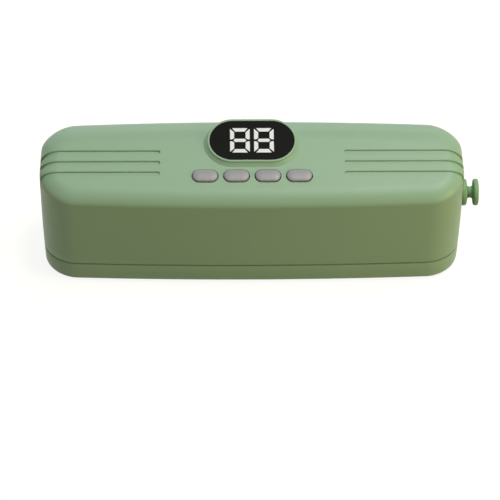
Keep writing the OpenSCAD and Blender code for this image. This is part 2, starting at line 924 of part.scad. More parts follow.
module pump_cradle() {
    color("Gray") difference() {
        union() {
            box(motor_x0 + 2, case_x1, -case_d / 2, case_d / 2, roof_z, roof_z + 2);
            box(motor_x1 + 1, case_x1, -case_d / 2, case_d / 2, roof_z, roof_z + 4);
            box(motor_x0 + 5, motor_x1 - 6, -8, 8, roof_z, motor_z - 9);
        }
        on_motor() rod_x(motor_x0 - 5, motor_x1 + 0.5, motor_r + 0.03);
    }
}

// Air path

module chamber_fitting() {
    color("Ivory") translate([tee_x, 0, 0]) difference() {
        union() {
            rod_z(recess_top, roof_z + 8, barb_r);
            rod_z(roof_z, roof_z + 1.4, 4.4);
        }
        rod_z(recess_top - 1, roof_z + 9, barb_bore);
    }
}

module vacuum_tee() {
    color("Ivory") translate([tee_x, 0, port_z]) difference() {
        union() {
            rod_z(tee_drop, 9, barb_r);
            rod_z(-3.4, 3.4, hose_r);
            rod_x(0, 8, barb_r);
        }
        rod_z(tee_drop - 1, 10, barb_bore);
        rod_x(0, 9, barb_bore);
    }
}

module hose(z0, z1) {
    difference() {
        rod_z(z0, z1, hose_r);
        rod_z(z0 - 1, z1 + 1, barb_r + 0.02);
    }
}

module chamber_hose() {
    color("Gainsboro") translate([tee_x, 0, 0]) hose(roof_z + 1.4, port_z - 3.4);
}

module port_hose() {
    color("Gainsboro") translate([tee_x, 0, port_z]) rotate([0, 90, 0])
        hose(hose_r, port_barb_x + 5.6 - tee_x);
}

// Short straight legs joined by a quarter bend
module pump_hose() {
    color("Gainsboro") difference() {
        hose_solid(hose_r, 0);
        hose_solid(barb_r + 0.02, 1);
    }
}

module hose_solid(r, more) {
    translate([tee_x, 0, 0]) rod_z(port_z + 3.4 - more, inlet_z - bend_r, r);
    translate([0, 0, inlet_z]) rod_x(case_x1 - more, tee_x - bend_r, r);
    translate([tee_x - bend_r, 0, inlet_z - bend_r]) rotate([90, 0, 0])
        rotate_extrude(angle = 90) translate([bend_r, 0]) circle(r = r);
}

module accessory_port() {
    wall_x = half_w - wall - draft_at(port_z);
    color("Ivory") translate([0, 0, port_z]) difference() {
        union() {
            rod_x(port_barb_x, port_barb_x + 8, barb_r);
            rod_x(port_barb_x + 6, half_w - 0.4, port_sleeve_r);
            rod_x(wall_x - 2.2, wall_x - 0.1, port_sleeve_r + 2);
        }
        rod_x(half_w - 11, half_w + 1, port_bore_r);
        rod_x(port_barb_x - 1, half_w, barb_bore);
    }
}

module port_plug() {
    color("MediumSeaGreen") translate([plug_face_x, 0, port_z]) rotate([0, 90, 0])
        rotate_extrude() plug_profile();
}

// Stem, inner flange, waisted neck and outer flange, drawn from the axis outwards
module plug_profile() {
    fr = plug_flange_d / 2;
    nr = plug_neck_d / 2;
    t = plug_flange_t;
    l = plug_neck_len;
    waist = l / 2;
    translate([0, -9.5]) square([port_bore_r - 0.05, 10]);
    difference() {
        union() {
            flange_profile(fr, t, 0);
            flange_profile(fr, t, t + l);
            square([nr + waist, 2 * t + l]);
        }
        translate([nr + waist, t + waist]) circle(r = waist);
    }
}

module flange_profile(r, t, y) {
    edge = t * 0.4;
    translate([0, y]) square([r - edge, t]);
    translate([0, y + edge]) square([r, t - 2 * edge]);
    translate([r - edge, y + edge]) circle(r = edge);
    translate([r - edge, y + t - edge]) circle(r = edge);
}

// Power

module battery_cells() {
    color("SteelBlue") for (s = [-1, 1]) {
        translate([0, tray_y + s * cell_pitch / 2, cell_z]) rod_x(cell_x0, cell_x0 + cell_len, cell_r);
    }
}

module battery_tray() {
    color("DimGray") difference() {
        translate([0, tray_y, 0]) box(tray_x0, tray_x1, -tray_d / 2, tray_d / 2, roof_z, cell_z + 3);
        for (s = [-1, 1]) {
            translate([0, tray_y + s * cell_pitch / 2, cell_z])
                rod_x(cell_x0 - 0.8, cell_x0 + cell_len + 0.8, cell_r + 0.05);
        }
        translate([0, tray_y, 0]) box(cell_x0 - 0.8, cell_x0 + cell_len + 0.8,
            -tray_d / 2 + 1.2, tray_d / 2 - 1.2, cell_z, cell_z + 20);
    }
}

module battery_tabs() {
    color("Silver") translate([0, tray_y, cell_z]) {
        box(cell_x0 - 0.7, cell_x0, -cell_pitch / 2 - 4, cell_pitch / 2 + 4, 0.5, 3.4);
        for (s = [-1, 1]) {
            translate([0, s * cell_pitch / 2, 0])
                box(cell_x0 + cell_len, cell_x0 + cell_len + 0.7, -3, 3, 0.5, 6);
            translate([0, s * cell_pitch / 2, 0])
                box(cell_x0 + cell_len, cell_x0 + cell_len + 2.6, -2, 2, 5.3, 6);
        }
    }
}

module charge_board() {
    color("DarkGreen") box(charge_x - charge_half_w, charge_x + charge_half_w,
        half_d - 17, half_d - 1, charge_top - 1.2, charge_top);
}

module at_socket() {
    translate([charge_x, body_d / 2 - draft_at(socket_z) - 0.5, socket_z]) rotate([90, 0, 0]) children();
}

module usb_socket() {
    color("Silver") at_socket() difference() {
        union() {
            slab(socket_w, socket_h, 0, 7.6);
            box(-socket_w / 2 + 1, socket_w / 2 - 1, -socket_h / 2, 0, 4, 7.6);
        }
        difference() {
            slab(socket_w - 0.7, socket_h - 0.7, -1, 6.4);
            box(-3.3, 3.3, -0.35, 0.35, 0.6, 7);
        }
    }
}

// Leads

function bezier(p, t) =
    pow(1 - t, 3) * p[0] + 3 * pow(1 - t, 2) * t * p[1] + 3 * (1 - t) * t * t * p[2] + pow(t, 3) * p[3];

function bezier_way(p, t) =
    3 * pow(1 - t, 2) * (p[1] - p[0]) + 6 * (1 - t) * t * (p[2] - p[1]) + 3 * t * t * (p[3] - p[2]);

function unit(v) = v / norm(v);

function lead_ring(p, t, r) =
    let (c = bezier(p, t), d = unit(bezier_way(p, t)), u = unit(cross([0, 1, 0], d)), v = cross(d, u))
    [for (k = [0:5]) c + r * (cos(60 * k) * u + sin(60 * k) * v)];

module lead(p) {
    skin([for (k = [0:12]) lead_ring(p, k / 12, 0.8)]);
}

// Point under the control board and the way a lead leaves it
function board_point(x, s, drop) =
    let (h = board_top - board_t - drop)
    [
        x,
        panel_y0 + s * cos(panel_tilt) - h * sin(panel_tilt),
        panel_height(panel_y0) + s * sin(panel_tilt) + h * cos(panel_tilt)
    ];

module motor_leads() {
    color("Crimson") for (s = [-1, 1]) {
        y = s * 6;
        lead([[motor_x0 - 4.2, y, motor_z + 0.4], [motor_x0 - 4.2, y, motor_z + 12],
            board_point(6, 17 + s * 3, 10), board_point(6, 17 + s * 3, 0)]);
    }
}

module battery_leads() {
    color("Firebrick") for (s = [-1, 1]) {
        y = tray_y + s * cell_pitch / 2;
        x = cell_x0 + cell_len + 1.6;
        lead([[x, y, cell_z + 6], [x, y, cell_z + 14],
            board_point(-30, 20 + s * 4, 10), board_point(-30, 20 + s * 4, 0)]);
    }
}

module heater_leads() {
    color("OrangeRed") for (s = [-1, 1]) {
        z = heater_top + 2.5;
        lead([[s * terminal_x, seal_y, z], [s * terminal_x, seal_y, z + 34],
            board_point(s * (board_fix_x + 2), button_s - 0.7, 14),
            board_point(s * (board_fix_x + 2), button_s - 0.7, 0)]);
    }
}

base_shell();
base_deck();
feet();
base_screws();
lower_gasket();
press_strip();
hinge_pins();
top_shell();
lid_deck();
lid_screws();
upper_gasket();
heater_bar();
heating_strip();
ptfe_tape();
heater_terminals();
display_lens();
display_segments();
display_module();
control_board();
board_parts();
board_screws();
tact_switches();
pulse_button();
seal_button();
vacuum_button();
power_button();
pulse_plunger();
seal_plunger();
vacuum_plunger();
power_plunger();
motor_can();
motor_magnets();
motor_end_cap();
motor_rotor();
eccentric();
pump_crankcase();
pump_diaphragm();
pump_valve_plate();
pump_head();
pump_screws();
pump_cradle();
chamber_fitting();
vacuum_tee();
chamber_hose();
pump_hose();
port_hose();
accessory_port();
port_plug();
battery_cells();
battery_tray();
battery_tabs();
charge_board();
usb_socket();
motor_leads();
battery_leads();
heater_leads();
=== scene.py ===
import json
from math import cos, pi, radians, sin, sqrt, tan

import bmesh
import bpy
from mathutils import Matrix, Vector

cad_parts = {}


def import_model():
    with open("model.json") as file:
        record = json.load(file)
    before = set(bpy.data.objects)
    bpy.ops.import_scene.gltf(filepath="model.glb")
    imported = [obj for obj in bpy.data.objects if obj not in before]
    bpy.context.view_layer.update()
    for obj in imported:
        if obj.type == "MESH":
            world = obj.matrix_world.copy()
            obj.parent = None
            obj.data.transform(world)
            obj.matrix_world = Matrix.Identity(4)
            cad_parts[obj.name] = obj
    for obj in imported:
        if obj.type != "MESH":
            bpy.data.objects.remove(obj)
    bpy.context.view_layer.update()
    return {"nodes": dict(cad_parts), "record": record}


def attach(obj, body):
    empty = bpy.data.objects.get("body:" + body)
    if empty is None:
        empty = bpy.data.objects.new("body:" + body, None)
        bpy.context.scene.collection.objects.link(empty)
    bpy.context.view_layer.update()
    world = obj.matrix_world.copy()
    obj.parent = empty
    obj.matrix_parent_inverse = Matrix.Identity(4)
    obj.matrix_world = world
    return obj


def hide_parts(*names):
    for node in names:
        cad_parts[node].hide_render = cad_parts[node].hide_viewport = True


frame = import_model()
NODES = frame["nodes"]
MM = 0.001

# Housing; all sizes of the part are in millimetres and follow its source
BODY_W = 240.0
BODY_D = 66.0
SIDE_BOW = 3.0
CORNER_R = 20.0
WALL = 2.2
WALL_DRAFT = 1.2
WALL_TOP_Z = 55.0
BASE_FILLET = 3.5
SEAM_Z = 14.0
SEAM_GAP = 0.6
LIP_R = 0.5
HALF_W = BODY_W / 2
HALF_D = BODY_D / 2 - SIDE_BOW
LID_RIM_Z = SEAM_Z + SEAM_GAP / 2
BASE_RIM_Z = SEAM_Z - SEAM_GAP / 2

# Sloped panel and the rounded crown around it
PANEL_TILT = radians(16.0)
PANEL_Z = 73.5
PANEL_INSET_FRONT = 9.0
PANEL_INSET_BACK = 26.0
PANEL_INSET_END = 10.5
PANEL_CORNER_R = 9.0
PANEL_RISE = tan(PANEL_TILT)
PANEL_Y0 = -BODY_D / 2 + PANEL_INSET_FRONT
CROWN_DROP = 5.5

# Display surround
WINDOW_W = 48.3
WINDOW_D = 26.3
WINDOW_S = 30.1
RIM_W = 1.3
SKIRT_W = 1.7
POD_H = 2.5
POD_ROOT = 7.0

# Buttons, from left to right
BUTTON_NAMES = ("pulse", "seal", "vacuum", "power")
BUTTON_W = 14.4
BUTTON_D = 7.8
BUTTON_PITCH = 17.7
BUTTON_S = 7.7
BUTTON_PROUD = 1.4
BUTTON_ROOT = 2.8
BUTTON_CLEAR = 0.6

# Grip grooves and their broken edges
GROOVE_START = 52.0
GROOVE_Y = -8.0
GROOVE_PITCH = 6.8
GROOVE_W = 2.4
GROOVE_DEPTH = 0.9
GROOVE_STOP_Z = 58.0
GROOVE_EDGE_W = 0.22
GROOVE_EDGE_DEPTH = 0.16

# Hinges
HINGE_X = 72.0
KNUCKLE_LEN = 12.0
EAR_LEN = 5.0
EAR_GAP = 0.3
HINGE_FIT = 0.3
LID_NOTCH_Z = 17.5
LID_NOTCH_IN = 10.0
BASE_NOTCH_Z = 10.1
BASE_NOTCH_IN = 12.0
NOTCH_OVERRUN = 3.0

# Side port, its plug and the charging socket
PORT_Z = 41.0
BORE_R = 3.15
PORT_HOLE_R = BORE_R + 1.55
FLANGE_R = 7.7
FLANGE_T = 3.0
NECK_R = 3.2
NECK_LEN = 3.7
STEM_LEN = 9.5
PLUG_X = HALF_W + 0.3
SOCKET_Z = 30.8
SOCKET_W = 9.0
SOCKET_H = 3.2
SOCKET_CLEAR = 0.8

# Sealing jaws
SEAL_LEN = 190.0
SEAL_W = 8.0
GASKET_LEN = 200.0
GASKET_D = 30.0
GASKET_W = 4.5
JAW_RECESS = 0.4
SOFT_GAP = 0.15
DECK_Z = BASE_RIM_Z - JAW_RECESS
LINER_Z = LID_RIM_Z + JAW_RECESS
SOFT_LOW_Z = SEAM_Z - SOFT_GAP
SOFT_HIGH_Z = SEAM_Z + SOFT_GAP
SEAL_Y = -HALF_D + 7.5
GASKET_Y = SEAL_Y + SEAL_W / 2 + 2.5 + GASKET_D / 2
GASKET_FLOOR_Z = DECK_Z - 3.3
GASKET_TOP_Z = LINER_Z + 2.2
STRIP_FLOOR_Z = DECK_Z - 3.8

# Feet
FOOT_H = 0.6
FOOT_R = 4.9
FOOT_ROOT = 0.8
FOOT_FIT = 0.1
FOOT_X = HALF_W - 32
FOOT_Y = HALF_D - 11

# Screws
SCREW_R = 1.25
THREAD_ROOT_R = 1.0
HEAD_R = 2.4
HEAD_FIT = 0.4
BASE_HEAD_H = 0.9
BASE_SCREW_Z = FOOT_H + 1
BASE_SCREW_LEN = DECK_Z - FOOT_H - 5
LID_HEAD_H = 1.0
LID_SCREW_Z = LINER_Z + 1.2
LID_SCREW_LEN = 10.0
CORNER_FIX_X = HALF_W - 14
MIDDLE_FIX_X = 37.0
LID_FRONT_STEP = 5.3
LID_GASKET_STEP = 5.1
LID_FRONT_Y = SEAL_Y + SEAL_W / 2 + LID_FRONT_STEP
LID_FRONT_X = (GASKET_LEN - GASKET_D) / 2
LID_FRONT_X += sqrt((GASKET_D / 2 + LID_GASKET_STEP) ** 2 - (LID_FRONT_Y - GASKET_Y) ** 2)


def two_sides(x, y):
    return [(side * x, y) for side in (-1, 1)]


def four_corners(x, y):
    return [(side * x, end * y) for side in (-1, 1) for end in (-1, 1)]


FEET = four_corners(FOOT_X, FOOT_Y) + [(0, 0)]
BASE_SCREWS = four_corners(CORNER_FIX_X, HALF_D - 14) + two_sides(MIDDLE_FIX_X, HALF_D - 9)
LID_SCREWS = two_sides(LID_FRONT_X, LID_FRONT_Y) + two_sides(CORNER_FIX_X, HALF_D - 11)
LID_SCREWS += two_sides(MIDDLE_FIX_X, HALF_D - 5)

# Fineness, as steps along each stretch
CORNER_N = 20
SIDE_N = 48
WALL_N = 8
CROWN_N = 24
ROUND_N = 8
FLARE_N = 10
NECK_N = 14


def quarter(steps=ROUND_N):
    """Angles of a quarter turn in equal steps."""
    return [pi / 2 * k / steps for k in range(steps + 1)]


# Outer form


def panel_height(y):
    return PANEL_Z + PANEL_RISE * y


def draft_at(z):
    return WALL_DRAFT * max(0.0, 1 - z / WALL_TOP_Z) ** 2


def outline(half_w, front_y, back_y, r, bow=SIDE_BOW):
    """Plan outline with round corners and bowed long sides, counter-clockwise from the front right."""
    points = []
    reach = half_w - r

    def arc(cx, cy, start):
        for k in range(CORNER_N + 1):
            a = radians(start + 90 * k / CORNER_N)
            points.append((cx + r * cos(a), cy + r * sin(a), sin(a)))

    def side(x0, x1, y, lean):
        for k in range(1, SIDE_N):
            points.append((x0 + (x1 - x0) * k / SIDE_N, y, lean))

    arc(reach, front_y + r, -90)
    arc(reach, back_y - r, 0)
    side(reach, -reach, back_y, 1)
    arc(-reach, back_y - r, 90)
    arc(-reach, front_y + r, 180)
    side(-reach, reach, front_y, -1)
    return [(x, y + bow * lean * (1 - (x / half_w) ** 2)) for x, y, lean in points]


def inset_outline(off):
    return outline(HALF_W - off, -HALF_D + off, HALF_D - off, CORNER_R - off)


def wall_ring(z, off):
    return [(x, y, z) for x, y in inset_outline(off + draft_at(z))]


def back_shares():
    """Share of the back's tall crown at each outline point: 0 along the front, 1 along the back."""
    rise_from = -HALF_D / 3
    straight = outline(HALF_W, -HALF_D, HALF_D, CORNER_R, bow=0.0)
    turns = [max(0.0, (y - rise_from) / (HALF_D - rise_from)) for _, y in straight]
    return [t * t * (3 - 2 * t) for t in turns]


def crown_ring(phi, off):
    """phi runs from 0 at the wall to 90 degrees at the flat panel."""
    sink = off / cos(PANEL_TILT)
    front, back = -HALF_D + PANEL_INSET_FRONT, HALF_D - PANEL_INSET_BACK
    inner = outline(HALF_W - PANEL_INSET_END, front, back, PANEL_CORNER_R)
    ring = []
    for (xi, yi), (xo, yo), share in zip(inner, inset_outline(off), back_shares()):
        x = xi + (xo - xi) * cos(phi)
        y = yi + (yo - yi) * cos(phi)
        back_rise = panel_height(yo) - sink - WALL_TOP_Z
        rise = CROWN_DROP + (back_rise - CROWN_DROP) * share
        ring.append((x, y, panel_height(y) - sink - rise * (1 - sin(phi))))
    return ring


def crown_rings(off):
    """Rings closer together at both ends of the crown, where its section bends most."""
    evenness = 2.4
    turns = [k / CROWN_N for k in range(CROWN_N)]
    angles = [pi / 2 * (t - sin(2 * pi * t) / (evenness * pi)) for t in turns]
    return [crown_ring(phi, off) for phi in angles + [pi / 2]]


def lid_rings(off, z0):
    walls = [z0 + (WALL_TOP_Z - z0) * k / WALL_N for k in range(WALL_N)]
    return [wall_ring(z, off) for z in walls] + crown_rings(off)


# Mesh tools


def linked(name, data):
    """New object in the scene."""
    ob = bpy.data.objects.new(name, data)
    bpy.context.scene.collection.objects.link(ob)
    return ob


def baked(name, bm):
    """Mesh of a bmesh, which is consumed."""
    me = bpy.data.meshes.new(name)
    bm.to_mesh(me)
    bm.free()
    return me


def mesh_object(name, bm, sharp_deg=32.0):
    """Object from a bmesh in millimetres: outward faces, smooth except over sharp edges."""
    bmesh.ops.recalc_face_normals(bm, faces=bm.faces)
    bm.normal_update()
    limit = radians(sharp_deg)
    for face in bm.faces:
        face.smooth = True
    for edge in bm.edges:
        edge.smooth = not (len(edge.link_faces) == 2 and edge.calc_face_angle(0.0) > limit)
    bmesh.ops.scale(bm, vec=(MM, MM, MM), verts=bm.verts)
    return linked(name, baked(name, bm))


def skin(bm, rings, joined=False):
    """Faces over rings of equal length; joined also ties the last ring to the first."""
    rows = [[bm.verts.new(point) for point in ring] for ring in rings]
    n = len(rows[0])
    following = rows[1:] + (rows[:1] if joined else [])
    for a, b in zip(rows, following):
        for i in range(n):
            j = (i + 1) % n
            bm.faces.new((a[i], a[j], b[j], b[i]))
    return rows


def loft(rings, joined=False):
    """Closed form over rings of equal length, capped at both ends unless they are joined."""
    bm = bmesh.new()
    rows = skin(bm, rings, joined)
    if not joined:
        bm.faces.new(rows[0][::-1])
        bm.faces.new(rows[-1])
    return bm


def circle_ring(r, z, n):
    return [(r * cos(2 * pi * k / n), r * sin(2 * pi * k / n), z) for k in range(n)]


def stadium_ring(w, d, z, n=20):
    """Outline of a slot shape at height z, counter-clockwise."""
    r, c = d / 2, (w - d) / 2
    turns = [pi * k / n - pi / 2 for k in range(n + 1)]
    right = [(c + r * cos(a), r * sin(a), z) for a in turns]
    left = [(-x, -y, z) for x, y, _ in right]
    return right + left


def place(bm, matrix):
    bmesh.ops.transform(bm, matrix=matrix, verts=bm.verts)
    return bm


def at(x, y, z):
    return Matrix.Translation((x, y, z))


def on_panel(s, x=0.0):
    """Frame on the sloped panel: x along the machine, y up the slope, z out of it."""
    spot = at(x, PANEL_Y0 + s * cos(PANEL_TILT), panel_height(PANEL_Y0) + s * sin(PANEL_TILT))
    return spot @ Matrix.Rotation(PANEL_TILT, 4, "X")


def at_button(i):
    middle = (len(BUTTON_NAMES) - 1) / 2
    return on_panel(BUTTON_S, (i - middle) * BUTTON_PITCH)


def prism(w, d, z0, z1, flare=0.0, lip=0.0):
    """Slot-shaped cutter, optionally opening out over its last lip of height."""
    rings = [stadium_ring(w, d, z0), stadium_ring(w, d, z1 - lip)]
    if lip:
        rings.append(stadium_ring(w + 2 * flare, d + 2 * flare, z1))
    return loft(rings)


def block(x0, x1, y0, y1, z0, z1):
    bm = bmesh.new()
    bmesh.ops.create_cube(bm, size=1.0)
    size = Matrix.Diagonal((x1 - x0, y1 - y0, z1 - z0, 1))
    return place(bm, at((x0 + x1) / 2, (y0 + y1) / 2, (z0 + z1) / 2) @ size)


def disc(r, z0, z1, n=48):
    return loft([circle_ring(r, z, n) for z in (z0, z1)])


def lathe(profile, n=72):
    """Solid of revolution about z from (radius, height) points that start and end on the axis."""
    bm = bmesh.new()
    rows = skin(bm, [circle_ring(r, z, n) for r, z in profile[1:-1]])
    for (_, z), row in ((profile[0], rows[0][::-1]), (profile[-1], rows[-1])):
        tip = bm.verts.new((0, 0, z))
        for i in range(n):
            bm.faces.new((tip, row[i], row[(i + 1) % n]))
    return bm


def cut(bm, cutters):
    """One bmesh less several others; all are consumed."""

    def temporary(name, source):
        bmesh.ops.recalc_face_normals(source, faces=source.faces)
        return linked(name, baked(name, source))

    target = temporary("cut_target", bm)
    tools = []
    for k, cutter in enumerate(cutters):
        tool = temporary(f"cut_tool_{k}", cutter)
        tools.append(tool)
        mod = target.modifiers.new(f"cut_{k}", "BOOLEAN")
        mod.operation = "DIFFERENCE"
        mod.solver = "EXACT"
        mod.object = tool
    bpy.context.view_layer.update()
    shape = target.evaluated_get(bpy.context.evaluated_depsgraph_get())
    out = bmesh.new()
    out.from_mesh(shape.to_mesh())
    for ob in [target] + tools:
        me = ob.data
        bpy.data.objects.remove(ob)
        bpy.data.meshes.remove(me)
    weld = 1e-4
    bmesh.ops.remove_doubles(out, verts=out.verts, dist=weld)
    return out


def gather(parts):
    """One bmesh from several; all are consumed."""
    out = bmesh.new()
    for part in parts:
        me = baked("gather", part)
        out.from_mesh(me)
        bpy.data.meshes.remove(me)
    return out


# Housing


def lip_rings(z, up):
    """Rounded edge of a wall at the parting line, from its outer to its inner face."""
    rings = []
    for k in range(1, ROUND_N):
        a = pi * k / ROUND_N
        rings.append(wall_ring(z + LIP_R * (1 - sin(a)) * up, WALL / 2 - WALL / 2 * cos(a)))
    return rings


def lid_shell():
    outer = lid_rings(0, LID_RIM_Z + LIP_R)
    inner = lid_rings(WALL, LID_RIM_Z + LIP_R)
    lip = lip_rings(LID_RIM_Z, 1)
    return loft(inner[::-1] + lip[::-1] + outer)


def groove_cutters(grow, depth):
    """Grip grooves as slots in plan, kept to a depth below the outer form."""
    overrun, above = 6, PANEL_Z + 20
    reach = HALF_W + overrun - GROOVE_START
    tools = []
    for side in (-1, 1):
        for k in (-1, 0, 1):
            slot = prism(reach + 2 * grow, GROOVE_W + 2 * grow, GROOVE_STOP_Z - grow, above)
            place(slot, at(side * (GROOVE_START + reach / 2), GROOVE_Y + k * GROOVE_PITCH, 0))
            core = loft(lid_rings(depth, LID_RIM_Z))
            tools.append(cut(slot, [core]))
    return tools


def window_cutter():
    clear, below, above = 1, 12, 6
    return place(prism(WINDOW_W + clear, WINDOW_D + clear, -below, above), on_panel(WINDOW_S))


def button_cutter(i):
    """Button opening with a small chamfer that ends just above the panel."""
    below, above, chamfer = 6, 0.02, 0.25
    hole = prism(BUTTON_W + BUTTON_CLEAR, BUTTON_D + BUTTON_CLEAR, -below, above, chamfer, chamfer + above)
    return place(hole, at_button(i))


def port_cutter():
    inside, length = 8, 14
    sideways = at(HALF_W - inside, 0, PORT_Z) @ Matrix.Rotation(pi / 2, 4, "Y")
    return place(disc(PORT_HOLE_R, 0, length), sideways)


def socket_cutter():
    outside, length = 2, 10
    mouth = prism(SOCKET_W + SOCKET_CLEAR, SOCKET_H + SOCKET_CLEAR, 0, length)
    return place(mouth, at(0, BODY_D / 2 + outside, SOCKET_Z) @ Matrix.Rotation(pi / 2, 4, "X"))


def hinge_cutters(half_len, inside, z0, z1):
    """Notches in the back wall for both hinges."""
    middles = (-HINGE_X, HINGE_X)
    return [block(x - half_len, x + half_len, HALF_D - inside, BODY_D, z0, z1) for x in middles]


def build_lid():
    cutters = [window_cutter()]
    cutters += [button_cutter(i) for i in range(len(BUTTON_NAMES))]
    cutters += [port_cutter(), socket_cutter()]
    cutters += hinge_cutters(KNUCKLE_LEN / 2 + HINGE_FIT, LID_NOTCH_IN, SEAM_Z - NOTCH_OVERRUN, LID_NOTCH_Z)
    bm = cut(lid_shell(), cutters)
    bm = cut(bm, groove_cutters(0.0, GROOVE_DEPTH))
    bm = cut(bm, groove_cutters(GROOVE_EDGE_W, GROOVE_EDGE_DEPTH))
    return mesh_object("housing_lid", bm, sharp_deg=28)


def base_rings(off, z0, r):
    """One face of the base from its bottom, round the lower edge and up to the lip."""
    rings = [wall_ring(z0 + r * (1 - sin(a)), off + r * (1 - cos(a))) for a in quarter()[::-1]]
    mid_z = 8.0
    return rings + [wall_ring(z, off) for z in (mid_z, BASE_RIM_Z - LIP_R)]


def build_base():
    outer = base_rings(0, FOOT_H, BASE_FILLET)
    inner = base_rings(WALL, FOOT_H + WALL, BASE_FILLET - WALL)
    bm = loft(outer + lip_rings(BASE_RIM_Z, -1) + inner[::-1])
    below = -1
    tools = [place(disc(HEAD_R + HEAD_FIT, below, BASE_SCREW_Z), at(x, y, 0)) for x, y in BASE_SCREWS]
    tools += [place(disc(FOOT_R + FOOT_FIT, below, FOOT_H + FOOT_ROOT), at(x, y, 0)) for x, y in FEET]
    hinge_reach = KNUCKLE_LEN / 2 + EAR_GAP + EAR_LEN
    tools += hinge_cutters(hinge_reach + HINGE_FIT, BASE_NOTCH_IN, BASE_NOTCH_Z, SEAM_Z + NOTCH_OVERRUN)
    return mesh_object("housing_base", cut(bm, tools), sharp_deg=28)


# Display surround, buttons and plug


def build_pod():
    """Raised surround of the display: root, flare that dies out at the back, rounded rim, inner wall."""
    outer_w, outer_d = WINDOW_W + 2 * RIM_W, WINDOW_D + 2 * RIM_W
    extra, hollow, back_snug = 0.4, 1.25, 0.9
    flare = SKIRT_W + extra
    shoulder, lip = 0.6, 0.25
    sunk, crease = 0.06, 0.05
    ledge_w, ledge_z = 1.2, 0.3

    def ring(grow, z):
        wide = stadium_ring(outer_w + 2 * grow, outer_d + 2 * grow, z)
        if grow <= 0:
            return wide
        drawn = []
        for (xw, yw, _), (x, y, _) in zip(wide, stadium_ring(outer_w, outer_d, z)):
            snug = back_snug * max(0.0, y / (outer_d / 2))
            drawn.append((xw + (x - xw) * snug, yw + (y - yw) * snug, z))
        return drawn

    rings = [ring(SKIRT_W, -POD_ROOT), ring(SKIRT_W, -sunk), ring(flare, -sunk)]
    for k in range(FLARE_N + 1):
        t = k / FLARE_N
        rings.append(ring(flare * (1 - t) ** hollow, (POD_H - shoulder - crease) * t))
    for a in quarter():
        rings.append(ring(-shoulder * (1 - cos(a)), POD_H - shoulder * (1 - sin(a))))
    for a in quarter(4):
        rings.append(ring(-RIM_W + lip * (1 - sin(a)), POD_H - lip * (1 - cos(a))))
    rings += [ring(-RIM_W, ledge_z), ring(-RIM_W - ledge_w, ledge_z), ring(-RIM_W - ledge_w, -POD_ROOT)]
    bm = place(loft(rings, joined=True), on_panel(WINDOW_S))
    return mesh_object("display_surround", bm, sharp_deg=35)


def build_button(name, i):
    """Cap with a round edge that runs into a low dome."""
    edge, dome, slack = 0.8, 0.3, 0.2
    edge_end = radians(78)
    edge_z = BUTTON_PROUD - dome
    w, d = BUTTON_W - slack, BUTTON_D - slack
    rings = [stadium_ring(w, d, -BUTTON_ROOT), stadium_ring(w, d, edge_z - edge)]
    for k in range(1, ROUND_N + 1):
        a = edge_end * k / ROUND_N
        inset = edge * (1 - cos(a))
        rings.append(stadium_ring(w - 2 * inset, d - 2 * inset, edge_z - edge * (1 - sin(a))))
    for t in (0.3, 0.6, 0.85):
        less = 2 * edge + t * (d - 2 * edge)
        rings.append(stadium_ring(w - less, d - less, edge_z + dome * t * (2 - t)))
    return mesh_object(name, place(loft(rings), at_button(i)), sharp_deg=40)


def build_plug():
    """Stem in the bore, a flange on the wall, a waisted neck and an outer flange."""
    edge, waist = 1.1, NECK_LEN / 2
    flat_r = FLANGE_R - edge
    stem_r = BORE_R - 0.05
    tip = ((0.7, 0.0), (0.2, 0.3))
    tip_len, dome = 0.9, 0.02
    outer_z = FLANGE_T + NECK_LEN
    end_z = outer_z + FLANGE_T

    def rising(z, angles):
        return [(flat_r + edge * sin(a), z + edge - edge * cos(a)) for a in angles]

    def closing(z, angles):
        return [(flat_r + edge * cos(a), z - edge + edge * sin(a)) for a in angles]

    profile = [(0, -STEM_LEN)] + [(BORE_R - inset, -STEM_LEN + up) for inset, up in tip]
    profile += [(stem_r, -STEM_LEN + tip_len), (stem_r, 0.0), (flat_r, 0.0)]
    profile += rising(0.0, quarter()[1:]) + closing(FLANGE_T, quarter())
    for k in range(NECK_N + 1):
        a = pi * k / NECK_N
        profile.append((NECK_R + waist - waist * sin(a), FLANGE_T + waist - waist * cos(a)))
    profile += rising(outer_z, quarter()) + closing(end_z, quarter()[:-2])
    profile += [(FLANGE_R / 2, end_z - dome), (0, end_z)]
    turned = at(PLUG_X, 0, PORT_Z) @ Matrix.Rotation(pi / 2, 4, "Y")
    return mesh_object("side_plug", place(lathe(profile), turned), sharp_deg=40)


# Soft parts, feet and screws


def round_section(width, z_back, z_face, r):
    """(offset, z) points of a strip's section with two round edges at its face."""
    up = 1 if z_face > z_back else -1
    near = [(r * (1 - cos(a)), z_face - up * r * (1 - sin(a))) for a in quarter()]
    far = [(width - r * (1 - sin(a)), z_face - up * r * (1 - cos(a))) for a in quarter()]
    return [(0.0, z_back)] + near + far + [(width, z_back)]


def build_gasket(name, z_back, z_face):
    edge = 1.2
    section = round_section(GASKET_W, z_back, z_face, edge)
    loop = loft([stadium_ring(GASKET_LEN - 2 * o, GASKET_D - 2 * o, z) for o, z in section], joined=True)
    return mesh_object(name, place(loop, at(0, GASKET_Y, 0)))


def build_press_strip():
    """Strip with a round-edged face and a small bevel at both ends."""
    edge, bevel, mid = 0.8, 0.3, SEAL_W / 2
    section = round_section(SEAL_W, STRIP_FLOOR_Z, SOFT_LOW_Z, edge)
    rings = []
    for side, shrink in ((-1, bevel), (-1, 0.0), (1, 0.0), (1, bevel)):
        x = side * (SEAL_LEN / 2 - bevel + shrink)
        ring = []
        for o, z in section:
            lower = shrink if z > DECK_Z else 0
            ring.append((x, SEAL_Y + (o - mid) * (1 - shrink / mid), z - lower))
        rings.append(ring)
    return mesh_object("press_pad", loft(rings))


